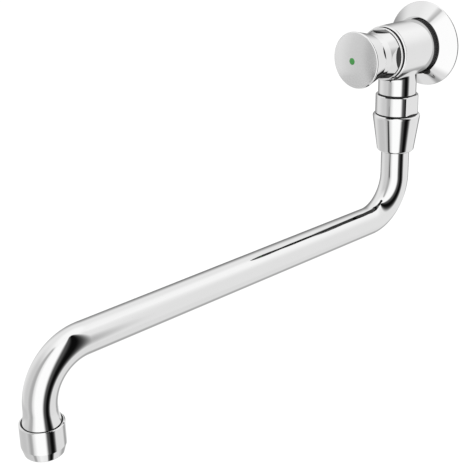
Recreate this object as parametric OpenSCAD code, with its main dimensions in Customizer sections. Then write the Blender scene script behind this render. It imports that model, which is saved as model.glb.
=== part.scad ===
// Wall-mounted push timed tap with a long swivel spout.
// Millimetres. The wall is the plane y = 0, the tap stands out of it along -y, and +z is up.
// The origin is where the inlet axis meets the wall. "Reach" below is distance from the wall.

/* [Rosette] */
// Outer diameter of the wall rosette
rosette_d = 60; // [54:1:70]
// Height of the rosette's cone above the wall
rosette_h = 9; // [6:0.1:12]
// Sheet thickness of the rosette
rosette_t = 1.2; // [0.8:0.1:1.6]
// Thickness of the black spacer between rosette and body
spacer_t = 3.8; // [2.5:0.1:6]

/* [Body] */
// Outer diameter of the body's barrel
body_d = 38; // [37:0.5:44]
// Length of the barrel
body_len = 31.6; // [31:0.1:40]
// Chamfer on the barrel's front edge
body_chamfer = 0.7; // [0.4:0.1:1.2]
// Bore of the barrel that takes the cartridge
body_bore_d = 30; // [28:0.2:31]
// Major diameter of the inlet thread
inlet_thread_d = 20.955; // [20:0.005:26.5]
// Length of the inlet tail behind the wall
tail_len = 13; // [11:0.5:25]
// Wall of the inlet tail
tail_wall = 2.5; // [1.8:0.1:3]
// Distance of the neck's axis from the barrel's rear face
neck_setback = 15.7; // [15:0.1:16.6]
// Outer diameter of the outlet neck
neck_d = 26.7; // [25:0.1:28.6]
// Drop from the tap's axis to the neck's lower end
neck_drop = 30.6; // [30:0.1:40]
// Diameter of the waterway from the barrel into the neck
waterway_d = 11.2; // [8:0.2:14]
// Width of the blend between barrel and neck
neck_blend = 1.8; // [1:0.1:3.5]

/* [Cartridge] */
// Distance of the valve seat's rear face from the barrel's rear face
seat_setback = 2.6; // [2:0.1:4]
// Thickness of the valve seat
seat_t = 2.6; // [2:0.1:4]
// Width of the ledge that the valve seat rests on
seat_ledge = 2; // [1:0.1:3]
// Diameter of the water hole through the valve seat
seat_bore_d = 10; // [7:0.2:11]
// Length of the cartridge housing
housing_len = 20; // [19:0.1:22]
// Wall of the cartridge housing
housing_wall = 4; // [3.4:0.1:5]
// Length of each sealing land on the housing
land_len = 3.8; // [3.2:0.1:5]
// Radius of the water ports in the housing
port_r = 2.2; // [1:0.1:3]
// Travel of the button
stroke = 6; // [4:0.1:7]
// Diameter of the spindle behind the button
spindle_d = 6; // [5:0.1:7]
// Diameter of the spindle behind the piston
stem_d = 4; // [3:0.1:4.6]
// Length of the timing piston
piston_len = 5; // [4:0.1:6]
// Depth of the timing chamber in front of the rest position of the piston
chamber_spare = 9; // [7.5:0.1:10]
// Coils of the return spring
spring_turns = 5.5; // [4:0.5:6.5]
// Wire diameter of the return spring
spring_wire_d = 1.2; // [0.8:0.05:1.4]

/* [Bonnet] */
// Width of the groove between barrel and bonnet
groove_w = 1.8; // [1.5:0.1:2.4]
// Thickness of the bonnet's flange
flange_t = 1.3; // [1:0.1:2.5]
// Length of the flared foot with the spanner flats
flare_len = 7.5; // [5:0.1:9]
// Wall of the web that carries the spindle guide
web_t = 6; // [5:0.1:8]

/* [Button] */
// Diameter of the button's face
button_d = 38.8; // [36:0.1:46]
// Thickness of the button's face
button_face_t = 3.5; // [3:0.1:6]
// Height of the dome on the button's face
dome_h = 3.4; // [1:0.1:5]
// Wall of the button's skirt at its rear edge
skirt_wall = 0.8; // [0.6:0.1:2]
// Overlap of button and nose when the button is out
nose_overlap = 2.5; // [1:0.1:4]
// Diameter of the coloured plug in the face
plug_d = 4.4; // [3.6:0.1:7]

/* [Swivel] */
// Height of the connector's ring between neck and nut
ring_h = 13.4; // [8:0.1:18]
// Wall of the connector's male thread
thread_wall = 1.72; // [1.2:0.01:3]
// Length of the connector's male thread
thread_len = 11.3; // [9:0.1:14]
// Length of the connector's spigot in the neck
spigot_len = 9.5; // [7:0.1:9.8]
// Height of the tapered nut
nut_h = 27.5; // [24:0.1:34]
// Wall of the tapered nut at its upper rim
nut_wall = 3.48; // [2:0.01:5]
// Wall of the tapered nut at its lower rim
nut_foot = 2.8; // [1.5:0.1:4]

/* [Spout] */
// Outer diameter of the spout tube
tube_d = 20; // [18:0.1:22]
// Wall of the spout tube
tube_wall = 1.2; // [0.8:0.1:1.6]
// Horizontal reach from the neck's axis to the outlet's axis
spout_reach = 308; // [150:1:350]
// Drop from the tap's axis to the arm's axis
arm_drop = 120.5; // [112:0.5:160]
// Bend radius on the tube's centre line under the nut
upper_bend_r = 30; // [25:0.5:36]
// Bend radius on the tube's centre line at the outlet
lower_bend_r = 31; // [25:0.5:36]
// Straight length of tube between the lower bend and the aerator
outlet_straight = 9.5; // [9:0.1:20]

/* [Aerator] */
// Height of the aerator's housing
aerator_h = 20; // [18:0.1:26]
// Height of the tapered foot of the aerator's housing
aerator_taper_h = 6; // [2:0.1:7]
// Wall of the aerator's housing
aerator_wall = 1.1; // [0.8:0.1:2]
// Length of the outlet's male thread
outlet_thread_len = 9; // [7:0.1:10]
// Diameter of the cells in the jet former
cell_d = 2.4; // [1.5:0.1:3]

/* [Hidden] */

// Smoothness of turned and bent surfaces
$fn = 96;

// Clearances: a shaft that runs in a bore, a part pushed into its seat, a thread, and a face that moves
run_gap = 0.05;
push_gap = 0.05;
thread_gap = 0.1;
face_gap = 0.1;
swivel_gap = 0.1;
end_gap = 0.6;
// Overlap of cutting tools past the face they cut
cut = 1;

// Radii of the body and its bores
rosette_r = rosette_d / 2;
rim_w = 1.4;
rim_h = 0.72;
body_r = body_d / 2;
body_bore_r = body_bore_d / 2;
inlet_thread_r = inlet_thread_d / 2;
inlet_bore_r = inlet_thread_r - tail_wall;
thread_lead = 1;
// Plain shank between the thread's run-out at the wall and the barrel
shank_relief = 0.3;
shank_r = inlet_thread_r - shank_relief;
spacer_inset = 0.8;
spacer_r = body_r - spacer_inset;
spacer_bore_r = inlet_thread_r + thread_gap;
rosette_ledge = 2.1;
rosette_inner_r = spacer_r + rosette_ledge;
rosette_bore_r = inlet_thread_r + 2 * thread_gap;
neck_r = neck_d / 2;
seat_r = inlet_bore_r + seat_ledge;
seat_bore_r = seat_bore_d / 2;

// Reaches from the wall, from the rear of the cartridge to the button's face
body_rear = rosette_h + spacer_t;
body_front = body_rear + body_len;
neck_s = body_rear + neck_setback;
seat_rear = body_rear + seat_setback;
seat_front = seat_rear + seat_t;
housing_rear = seat_front;
housing_front = housing_rear + housing_len;
bonnet_rear = housing_front;
flange_rear = body_front + groove_w;
flange_front = flange_rear + flange_t;
flare_front = flange_front + flare_len;
button_rear = flare_front + stroke + end_gap;
nose_front = button_rear + nose_overlap;
button_ceiling = nose_front + stroke + end_gap;
button_face = button_ceiling + button_face_t;

// The blend under the barrel is a cone that ends on the barrel's side, no wider than the barrel has room for
blend_room = min(neck_s - neck_r - body_rear, body_front - body_chamfer - neck_s - neck_r);
blend_w = min(neck_blend, blend_room);
blend_r = neck_r + blend_w;
blend_top = -sqrt(pow(body_r, 2) - pow(blend_r, 2));

// Cartridge: piston bore, sealing lands, gallery and spring room
piston_bore_r = body_bore_r - housing_wall;
housing_r = body_bore_r - push_gap;
gallery_wall = 1.8;
gallery_r = piston_bore_r + gallery_wall;
housing_floor_t = 2.5;
housing_floor = housing_rear + housing_floor_t;
port_setback = 3.5;
port_reach = neck_s - port_setback;
port_count = 6;
seal_r = 0.9;
land_seal_depth = 2 * seal_r + push_gap;
piston_r = piston_bore_r - run_gap * 2;
piston_rear = bonnet_rear;
piston_front = piston_rear + piston_len;
chamber_front = piston_front + chamber_spare;
lip_w = 2.4;
lip_depth = 1.5;
lip_rear = piston_rear + (piston_len - lip_w) / 2;
needle_r = 0.5;
needle_hole_r = needle_r + face_gap;
needle_gap = 3.6;
needle_off = spindle_d / 2 + needle_gap;
needle_seat = 2.5;
needle_spare = 1;
needle_tail = stroke + needle_spare;

// Bonnet: thread, groove, flange, flare and nose
bonnet_thread_depth = 0.9;
bonnet_thread_r = body_bore_r + bonnet_thread_depth;
bonnet_relief = 0.5;
groove_floor_r = bonnet_thread_r - bonnet_relief;
groove_seal_r = groove_w / 2 - push_gap;
flange_w = 2.3;
flange_r = bonnet_thread_r + flange_w;
flange_edge = 0.45;
nose_r = bonnet_thread_r - bonnet_relief;
flare_w = 1.8;
flare_r = nose_r + flare_w;
flat_off = nose_r + face_gap;
web_front = chamber_front + web_t;
nose_wall = 2.4;
nose_bore_r = nose_r - nose_wall;
spindle_r = spindle_d / 2;
gland_lip = 1;
gland_rear = chamber_front + gland_lip;
gland_w = 2;
gland_seal_r = gland_w / 2 - push_gap;
gland_r = spindle_r + run_gap + 2 * gland_seal_r + push_gap;
bush_rear = gland_rear + gland_w;
bush_step = 0.4;
bush_r = gland_r + bush_step;
bush_flange_w = 2;
bush_flange_r = bush_r + bush_flange_w;
bush_flange_t = 1;
bush_front = web_front + bush_flange_t;

// Button: cone, dome, boss, plug and screw
button_r = button_d / 2;
skirt_bore_r = nose_r + swivel_gap;
skirt_rear_r = skirt_bore_r + skirt_wall;
button_bevel = 0.7;
dome_steps = 16;
boss_wall = 3;
boss_r = spindle_r + boss_wall;
boss_rear = bush_front + stroke + end_gap;
spindle_inset = 0.4;
spindle_front = button_ceiling + spindle_inset;
plug_r = plug_d / 2;
plug_proud = 0.15;
plug_floor_t = 1.4;
plug_t = button_face_t - plug_floor_t;
plug_rear = button_face + dome_h - plug_t;
screw_r = spindle_r / 2;
screw_len = 11;
screw_gap = 0.2;
screw_front = plug_rear - screw_gap;
screw_hex_share = 0.55;
screw_hex_r = screw_r * screw_hex_share;
screw_hex_depth = 1.5;

// Spindle and closing valve
stem_r = stem_d / 2;
washer_t = 2.5;
washer_front = seat_rear - push_gap;
washer_rear = washer_front - washer_t;
disc_gap = 1;
disc_r = inlet_bore_r - disc_gap;
disc_t = 2;
disc_rear = washer_rear - disc_t;
washer_inset = 0.3;
washer_r = disc_r - washer_inset;
nut_t = 3;
stem_nut_wall = 2.2;
stem_nut_r = stem_r + stem_nut_wall;
stem_tip = 0.5;
stem_rear = disc_rear - nut_t - stem_tip;
filter_gap = 1;
filter_len = tail_len - stroke + stem_rear - filter_gap;
filter_t = 0.6;
filter_rim = 1.5;
filter_r = inlet_bore_r - push_gap;
filter_taper = 3;
filter_tip_r = filter_r - filter_taper;
filter_slots = 12;
slot_w = 1;

// Return spring between the housing's floor and the piston
spring_rear = housing_floor + push_gap;
spring_front = piston_rear - push_gap;
spring_wire_r = spring_wire_d / 2;
spring_inset = 2.4;
spring_r = piston_bore_r - spring_inset;
rings_per_turn = 8;
wire_sides = 6;

// Heights of neck, connector, nut and spout collar, all below the tap's axis
outlet_thread_r = inlet_thread_r;
neck_bottom = -neck_drop;
gasket_t = 0.7;
gasket_inset = 0.25;
gasket_r = neck_r - gasket_inset;
neck_socket_r = outlet_thread_r + thread_gap;
ring_top = neck_bottom - gasket_t;
spigot_top = ring_top + spigot_len;
spigot_room = 0.8;
neck_socket_top = spigot_top + spigot_room;
waterway_r = waterway_d / 2;
ring_bottom = ring_top - ring_h;
tube_r = tube_d / 2;
tube_bore_r = tube_r - tube_wall;
braze_gap = 0.03;
collar_wall = 1.4;
collar_r = tube_r + collar_wall;
socket_r = collar_r + swivel_gap;
connector_thread_r = socket_r + thread_wall;
ring_step = 1.78;
ring_r = connector_thread_r + ring_step;
ring_chamfer = 0.5;
flat_step = 0.3;
ring_flat = connector_thread_r + flat_step;
connector_bottom = ring_bottom - thread_len;
socket_inset = 0.5;
socket_top = ring_bottom - socket_inset;
connector_step = 1.3;
connector_bore_r = tube_bore_r - connector_step;
collar_gap = 0.3;
collar_top = socket_top - collar_gap;
collar_flange_w = 1.2;
collar_flange_r = collar_r + collar_flange_w;
collar_flange_t = 2.7;
collar_flange_top = connector_bottom - face_gap;
collar_flange_bottom = collar_flange_top - collar_flange_t;
swivel_seal_r = 0.45;
swivel_groove_w = 2 * swivel_seal_r + face_gap;
swivel_seal_inset = 3;
swivel_seal_pitch = 4;
slip_t = 1.5;
nut_gap = 0.3;
nut_bore_r = collar_flange_r + nut_gap;
nut_thread_r = connector_thread_r + thread_gap;
nut_shoulder = collar_flange_bottom - slip_t - 2 * face_gap;
nut_hole_r = tube_r + nut_gap;
nut_top_r = nut_thread_r + nut_wall;
nut_foot_r = nut_hole_r + nut_foot;
nut_clear = 0.6;
nut_top = ring_bottom - nut_clear;
nut_bottom = nut_top - nut_h;
nut_round = 2;
round_steps = 6;

// Spout: arm, outlet and aerator
arm_z = -arm_drop;
outlet_s = neck_s + spout_reach;
lower_bend_end = arm_z - lower_bend_r;
aerator_top = lower_bend_end - outlet_straight;
aerator_bottom = aerator_top - aerator_h;
tube_inset = 2;
tube_end = aerator_top - tube_inset;
fitting_bore_r = tube_r + braze_gap;
flare_h = 8.5;
flare_lip = 0.4;
flare_lip_r = tube_r + flare_lip;
flare_rise = 1;
flare_end_r = flare_lip_r + flare_rise;
outlet_thread_end = aerator_top - outlet_thread_len;
aerator_thread_step = 1.9;
aerator_thread_r = tube_r + aerator_thread_step;
aerator_bore_r = aerator_thread_r + thread_gap;
aerator_r = aerator_bore_r + aerator_wall;
aerator_taper = 1.5;
aerator_foot_r = aerator_r - aerator_taper;
aerator_edge = 0.8;
aerator_lip_w = 1.2;
aerator_lip_r = aerator_foot_r - aerator_lip_w;
aerator_washer_t = 1.6;
screen_t = 0.5;
insert_gap = 0.2;
insert_r = aerator_lip_r - insert_gap;
insert_flange_t = 1.5;
insert_flange_r = aerator_bore_r - insert_gap;
washer_top = outlet_thread_end - push_gap;
washer_bottom = washer_top - aerator_washer_t;
screen_bottom = washer_bottom - screen_t;
insert_shelf = screen_bottom - insert_flange_t;
insert_inset = 0.6;
insert_bottom = aerator_bottom + insert_inset;
cell_wall = 0.5;
cell_pitch = cell_d + cell_wall;
cell_rows = 4;
screen_hole_d = 1.2;
screen_pitch = 2;
screen_rows = 5;

// Points of a round edge in a half profile: a quarter arc of radius r about the centre [cr, ch]
function arc(cr, ch, r, from, to, steps) =
    [for (i = [0:steps]) let (a = from + (to - from) * i / steps) [cr + r * cos(a), ch + r * sin(a)]];

// A solid turned about the tap's axis, from points of radius and reach
module turned(profile) {
    rotate([90, 0, 0])
        rotate_extrude()
            polygon(profile);
}

// A solid turned about the neck's axis, from points of radius and height
module turned_on_neck(profile) {
    translate([0, -neck_s, 0])
        rotate_extrude()
            polygon(profile);
}

// A solid turned about the outlet's axis, from points of radius and height
module turned_on_outlet(profile) {
    translate([0, -outlet_s, 0])
        rotate_extrude()
            polygon(profile);
}

// A round rod on the tap's axis between two reaches
module rod(r, rear, front) {
    translate([0, -rear, 0])
        rotate([90, 0, 0])
            cylinder(h = front - rear, r = r);
}

// A hexagon rod on the tap's axis between two reaches
module hex_rod(r, rear, front) {
    translate([0, -rear, 0])
        rotate([90, 0, 0])
            cylinder(h = front - rear, r = r, $fn = 6);
}

// A plain ring on the tap's axis
module tap_ring(r_out, r_in, rear, front) {
    turned([[r_in, rear], [r_out, rear], [r_out, front], [r_in, front]]);
}

// A round cord bent into a ring about z
module cord_ring(ring, cord) {
    rotate_extrude()
        translate([ring, 0])
            circle(r = cord, $fn = 32);
}

// A sealing ring on the tap's axis at a given reach
module tap_o_ring(ring, cord, reach) {
    translate([0, -reach, 0])
        rotate([90, 0, 0])
            cord_ring(ring, cord);
}

// Centres of a hexagon grid with a given pitch and number of rows about the middle
function hex_grid(pitch, rows) = [
    for (q = [-rows:rows], p = [-rows:rows])
        if (abs(q + p) <= rows) [pitch * (q + p / 2), pitch * p * sqrt(3) / 2]
];

// Spun cone with a flat rim on the wall and a web that the spacer presses on
module wall_rosette() {
    color("silver")
        turned([
            [rosette_r - rim_w, 0], [rosette_r, 0], [rosette_r, rim_h],
            [rosette_inner_r, rosette_h], [rosette_bore_r, rosette_h],
            [rosette_bore_r, rosette_h - rosette_t], [rosette_inner_r, rosette_h - rosette_t]
        ]);
}

// Black rubber ring between rosette and barrel
module rosette_spacer() {
    color([0.08, 0.08, 0.08])
        tap_ring(spacer_r, spacer_bore_r, rosette_h, body_rear);
}

// Brass casting: barrel, inlet tail, outlet neck and their bores
module valve_body() {
    color("silver")
        difference() {
            union() {
                turned([
                    [0, body_rear], [body_r - body_chamfer / 2, body_rear],
                    [body_r, body_rear + body_chamfer / 2],
                    [body_r, body_front - body_chamfer], [body_r - body_chamfer, body_front],
                    [0, body_front]
                ]);
                turned([
                    [0, -tail_len], [inlet_thread_r - thread_lead, -tail_len],
                    [inlet_thread_r, thread_lead - tail_len],
                    [inlet_thread_r, 0], [shank_r, 0], [shank_r, body_rear + cut], [0, body_rear + cut]
                ]);
                turned_on_neck([
                    [0, neck_bottom], [neck_r, neck_bottom], [neck_r, -body_r - blend_w],
                    [blend_r, blend_top], [0, blend_top]
                ]);
            }
            rod(inlet_bore_r, -tail_len - cut, seat_rear + cut);
            rod(seat_r + push_gap, seat_rear, seat_front + cut);
            rod(body_bore_r, seat_front, body_front + cut);
            rod(bonnet_thread_r + thread_gap, bonnet_rear, body_front + cut);
            translate([0, -neck_s, neck_bottom - cut])
                cylinder(h = neck_socket_top - neck_bottom + cut, r = neck_socket_r);
            translate([0, -neck_s, neck_bottom])
                cylinder(h = -neck_bottom, r = waterway_r);
        }
}

// Strainer basket pushed into the inlet tail
module inlet_filter() {
    filter_rear = -tail_len;
    filter_front = filter_rear + filter_len;
    color("gainsboro")
        difference() {
            turned([
                [filter_r - 2 * filter_t, filter_rear], [filter_r, filter_rear],
                [filter_r, filter_rear + filter_rim],
                [filter_tip_r, filter_front], [0, filter_front], [0, filter_front - filter_t],
                [filter_tip_r - filter_t, filter_front - filter_t],
                [filter_r - 2 * filter_t, filter_rear + filter_rim]
            ]);
            for (i = [0:filter_slots - 1])
                rotate([0, i * 360 / filter_slots, 0])
                    translate([-slot_w / 2, -filter_front + 2 * filter_t, filter_tip_r / 2])
                        cube([slot_w, filter_len - filter_rim - 4 * filter_t, filter_r]);
        }
}

// Ring that the valve washer closes on
module valve_seat() {
    color("goldenrod")
        tap_ring(seat_r, seat_bore_r, seat_rear, seat_front);
}

// Sleeve with a floor, a water gallery and two sealing lands
module cartridge_housing() {
    seal_floor = body_bore_r - land_seal_depth;
    seal_half = seal_r + push_gap;
    rear_seal = housing_rear + land_len / 2;
    front_seal = housing_front - land_len / 2;
    color("whitesmoke")
        difference() {
            turned([
                [seat_bore_r, housing_rear], [housing_r, housing_rear],
                [housing_r, rear_seal - seal_half], [seal_floor, rear_seal - seal_half],
                [seal_floor, rear_seal + seal_half], [housing_r, rear_seal + seal_half],
                [housing_r, housing_rear + land_len], [gallery_r, housing_rear + land_len],
                [gallery_r, housing_front - land_len], [housing_r, housing_front - land_len],
                [housing_r, front_seal - seal_half], [seal_floor, front_seal - seal_half],
                [seal_floor, front_seal + seal_half], [housing_r, front_seal + seal_half],
                [housing_r, housing_front], [piston_bore_r, housing_front],
                [piston_bore_r, housing_floor], [seat_bore_r, housing_floor]
            ]);
            for (i = [0:port_count - 1])
                translate([0, -port_reach, 0])
                    rotate([0, i * 360 / port_count, 0])
                        cylinder(h = body_bore_r, r = port_r);
        }
}

// Two sealing rings between housing and barrel
module housing_o_rings() {
    ring = body_bore_r - push_gap - seal_r;
    color([0.08, 0.08, 0.08]) {
        tap_o_ring(ring, seal_r, housing_rear + land_len / 2);
        tap_o_ring(ring, seal_r, housing_front - land_len / 2);
    }
}

// Centre line of the spring: a helix between the housing's floor and the piston, as radius direction and reach
spring_rings = rings_per_turn * spring_turns;
spring_climb = spring_front - spring_rear - spring_wire_d;
function spring_angle(i) = 360 * i / rings_per_turn;
function spring_reach(i) = spring_rear + spring_wire_r + spring_climb * i / spring_rings;
function spring_point(i) =
    [spring_r * cos(spring_angle(i)), -spring_reach(i), spring_r * sin(spring_angle(i))];
function wire_point(i, j) =
    let (b = 360 * j / wire_sides, r = spring_r + spring_wire_r * cos(b))
    [r * cos(spring_angle(i)), -spring_reach(i) - spring_wire_r * sin(b), r * sin(spring_angle(i))];
// Least gap between wire and wire, over all ring centres that are half a turn or more apart
spring_gap = min([
    for (i = [0:spring_rings], k = [0:spring_rings])
        if (k - i >= rings_per_turn / 2) norm(spring_point(i) - spring_point(k)) - spring_wire_d
]);
echo(spring_least_gap = spring_gap);

// Compression spring, one unbroken wire
module return_spring() {
    last = spring_rings * wire_sides;
    color("lightsteelblue")
        polyhedron(
            points = [for (i = [0:spring_rings], j = [0:wire_sides - 1]) wire_point(i, j)],
            faces = concat(
                [for (i = [0:spring_rings - 1], j = [0:wire_sides - 1])
                    let (a = i * wire_sides + j, b = i * wire_sides + (j + 1) % wire_sides)
                    [a, b, a + wire_sides]],
                [for (i = [0:spring_rings - 1], j = [0:wire_sides - 1])
                    let (a = i * wire_sides + j, b = i * wire_sides + (j + 1) % wire_sides)
                    [b, b + wire_sides, a + wire_sides]],
                [for (j = [1:wire_sides - 2]) [0, j + 1, j]],
                [for (j = [1:wire_sides - 2]) [last, last + j, last + j + 1]]
            )
        );
}

// Front piece of the cartridge: thread, groove, flange, flared foot with four flats and guide nose
module cartridge_bonnet() {
    color("silver")
        difference() {
            turned([
                [piston_bore_r, bonnet_rear], [bonnet_thread_r, bonnet_rear], [bonnet_thread_r, body_front],
                [groove_floor_r, body_front], [groove_floor_r, flange_rear], [flange_r, flange_rear],
                [flange_r, flange_front - flange_edge], [flange_r - flange_edge, flange_front],
                [flare_r, flange_front], [nose_r, flare_front], [nose_r, nose_front],
                [nose_bore_r, nose_front], [nose_bore_r, web_front], [bush_r + push_gap, web_front],
                [bush_r + push_gap, bush_rear], [gland_r, bush_rear], [gland_r, gland_rear],
                [spindle_r + run_gap, gland_rear], [spindle_r + run_gap, chamber_front],
                [piston_bore_r, chamber_front]
            ]);
            for (turn = [0:90:270])
                rotate([0, turn, 0])
                    translate([flat_off, -flare_front - cut, -flange_r])
                        cube([flange_r, flare_len + cut, 2 * flange_r]);
            translate([0, 0, needle_off])
                rod(needle_r + push_gap, chamber_front - cut, chamber_front + needle_seat);
        }
}

// Sealing ring in the groove between barrel and bonnet
module bonnet_o_ring() {
    color([0.12, 0.12, 0.12])
        tap_o_ring(groove_floor_r + push_gap + groove_seal_r, groove_seal_r, body_front + groove_w / 2);
}

// Plastic bush that guides the spindle
module guide_bush() {
    color("whitesmoke")
        turned([
            [spindle_r + run_gap, bush_rear], [bush_r, bush_rear], [bush_r, web_front],
            [bush_flange_r, web_front], [bush_flange_r, bush_front], [spindle_r + run_gap, bush_front]
        ]);
}

// Sealing ring round the spindle, behind the bush
module spindle_o_ring() {
    color([0.08, 0.08, 0.08])
        tap_o_ring(spindle_r + run_gap + gland_seal_r, gland_seal_r, gland_rear + gland_w / 2);
}

// Fixed needle in the piston's metering hole
module metering_needle() {
    color("lightsteelblue")
        translate([0, 0, needle_off])
            rod(needle_r, piston_rear - needle_tail, chamber_front + needle_seat - push_gap);
}

// Domed face of the button, from the bevel to the middle, as radius and reach
face_r = button_r - button_bevel;
function dome_point(r) = [r, button_face + dome_h * (1 - pow(r / face_r, 2))];

// Mushroom button: domed face, bevelled rim, conical side, bored skirt and boss
module push_button() {
    color("silver")
        difference() {
            turned(concat(
                [[skirt_bore_r, button_rear], [skirt_rear_r, button_rear],
                [button_r, button_face - button_bevel]],
                [for (i = [0:dome_steps]) dome_point(face_r * (1 - i / dome_steps))],
                [
                    [0, spindle_front], [spindle_r + push_gap, spindle_front],
                    [spindle_r + push_gap, boss_rear], [boss_r, boss_rear],
                    [boss_r, button_ceiling], [skirt_bore_r, button_ceiling]
                ]
            ));
            rod(plug_r + push_gap, plug_rear, button_face + dome_h + cut);
            rod(screw_r + push_gap, spindle_front - cut, plug_rear + cut);
        }
}

// Green disc pressed into the face over the screw
module button_plug() {
    plug_front = button_face + dome_h + plug_proud;
    color([0.18, 0.55, 0.2])
        turned([[0, plug_rear], [plug_r, plug_rear], [plug_r, plug_front - plug_proud],
        [plug_r - plug_proud, plug_front],
            [0, plug_front]]);
}

// Headless screw that holds the button on the spindle
module button_screw() {
    color("lightsteelblue")
        difference() {
            rod(screw_r, screw_front - screw_len, screw_front);
            hex_rod(screw_hex_r, screw_front - screw_hex_depth, screw_front + cut);
        }
}

// Stepped rod from the button to the closing valve
module valve_spindle() {
    color("lightsteelblue")
        difference() {
            turned([
                [0, stem_rear], [stem_r, stem_rear], [stem_r, piston_front], [spindle_r, piston_front],
                [spindle_r, spindle_front], [0, spindle_front]
            ]);
            rod(screw_r + push_gap, screw_front - screw_len - push_gap, spindle_front + cut);
        }
}

// Piston that slows the return, with a metering hole
module timing_piston() {
    groove_r = piston_r - lip_depth;
    color("whitesmoke")
        difference() {
            turned([
                [stem_r + push_gap, piston_rear], [piston_r, piston_rear], [piston_r, lip_rear],
                [groove_r, lip_rear],
                [groove_r, lip_rear + lip_w], [piston_r, lip_rear + lip_w], [piston_r, piston_front],
                [stem_r + push_gap, piston_front]
            ]);
            translate([0, 0, needle_off])
                rod(needle_hole_r, piston_rear - cut, piston_front + cut);
        }
}

// Lip seal in the piston's groove, open towards the front
module piston_lip_seal() {
    inner = piston_r - lip_depth + push_gap;
    outer = piston_bore_r - run_gap;
    rear = lip_rear + push_gap;
    front = lip_rear + lip_w - push_gap;
    lip = (outer - inner) / 3;
    color([0.08, 0.08, 0.08])
        turned([
            [inner, rear], [outer - lip / 2, rear], [outer, front], [outer - lip, front],
            [(inner + outer) / 2, rear + lip], [inner + lip, front], [inner, front]
        ]);
}

// Nut that clamps the piston against the spindle's shoulder
module piston_nut() {
    color("goldenrod")
        difference() {
            hex_rod(stem_nut_r, piston_rear - nut_t, piston_rear);
            rod(stem_r + push_gap, piston_rear - nut_t - cut, piston_rear + cut);
        }
}

// Backing disc of the valve washer
module valve_disc() {
    color("goldenrod")
        tap_ring(disc_r, stem_r + push_gap, disc_rear, washer_rear);
}

// Rubber washer that closes on the seat
module valve_washer() {
    color([0.1, 0.1, 0.1])
        tap_ring(washer_r, stem_r + push_gap, washer_rear, washer_front);
}

// Nut at the rear end of the spindle
module valve_nut() {
    color("goldenrod")
        difference() {
            hex_rod(stem_nut_r, disc_rear - nut_t, disc_rear);
            rod(stem_r + push_gap, disc_rear - nut_t - cut, disc_rear + cut);
        }
}

// Connector: spigot in the neck, ring with two flats, male thread and socket for the spout
module swivel_connector() {
    color("silver")
        difference() {
            turned_on_neck([
                [connector_bore_r, spigot_top], [outlet_thread_r, spigot_top],
                [outlet_thread_r, ring_top], [ring_r - ring_chamfer, ring_top],
                [ring_r, ring_top - ring_chamfer], [ring_r, ring_bottom],
                [connector_thread_r, ring_bottom],
                [connector_thread_r, connector_bottom], [socket_r, connector_bottom],
                [socket_r, socket_top],
                [connector_bore_r, socket_top]
            ]);
            for (side = [0, 180])
                translate([0, -neck_s, 0])
                    rotate([0, 0, side])
                        translate([ring_flat, -ring_r, ring_bottom - cut])
                            cube([ring_r, 2 * ring_r, ring_h + 2 * cut]);
        }
}

// Flat seal pressed between the neck's end and the connector's ring
module connector_gasket() {
    color([0.08, 0.08, 0.08])
        turned_on_neck([
            [neck_socket_r, ring_top], [gasket_r, ring_top], [gasket_r, neck_bottom],
            [neck_socket_r, neck_bottom]
        ]);
}

// Tapered nut with round shoulders that holds the spout in the connector
module swivel_nut() {
    color("silver")
        turned_on_neck(concat(
            [[nut_thread_r, nut_top]],
            arc(nut_top_r - nut_round, nut_top - nut_round, nut_round, 90, 0, round_steps),
            arc(nut_foot_r - nut_round, nut_bottom + nut_round, nut_round, 0, -90, round_steps),
            [
                [nut_hole_r, nut_bottom], [nut_hole_r, nut_shoulder], [nut_bore_r, nut_shoulder],
                [nut_bore_r, connector_bottom - face_gap], [nut_thread_r, connector_bottom - face_gap]
            ]
        ));
}

// Plastic washer that the spout's collar turns on
module slip_washer() {
    color("whitesmoke")
        turned_on_neck([
            [nut_hole_r, nut_shoulder + face_gap], [collar_flange_r, nut_shoulder + face_gap],
            [collar_flange_r, nut_shoulder + face_gap + slip_t],
            [nut_hole_r, nut_shoulder + face_gap + slip_t]
        ]);
}

// Heights of the two swivel seals
swivel_seals = [for (i = [0, 1]) collar_top - swivel_seal_inset - i * swivel_seal_pitch];

// Brass end brazed on the tube, with two seal grooves and a thrust flange
module spout_collar() {
    color("goldenrod")
        difference() {
            turned_on_neck([
                [tube_r + braze_gap, collar_top], [collar_r, collar_top], [collar_r, collar_flange_top],
                [collar_flange_r, collar_flange_top], [collar_flange_r, collar_flange_bottom],
                [tube_r + braze_gap, collar_flange_bottom]
            ]);
            for (z = swivel_seals)
                turned_on_neck([
                    [socket_r - 2 * swivel_seal_r - 2 * run_gap, z - swivel_groove_w / 2],
                    [socket_r + cut, z - swivel_groove_w / 2], [socket_r + cut, z + swivel_groove_w / 2],
                    [socket_r - 2 * swivel_seal_r - 2 * run_gap, z + swivel_groove_w / 2]
                ]);
        }
}

// Two swivel seals that turn with the spout
module spout_o_rings() {
    color([0.08, 0.08, 0.08])
        for (z = swivel_seals)
            translate([0, -neck_s, z])
                cord_ring(socket_r - run_gap - swivel_seal_r, swivel_seal_r);
}

// Cross-section of the spout tube
module tube_section() {
    difference() {
        circle(r = tube_r);
        circle(r = tube_bore_r);
    }
}

// A quarter bend of the tube in the y-z plane about a centre, starting at a given angle from +y towards +z
module tube_bend(centre, bend_r, start) {
    translate(centre)
        rotate([90, 0, 90])
            rotate([0, 0, start])
                rotate_extrude(angle = 90)
                    translate([bend_r, 0])
                        tube_section();
}

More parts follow.
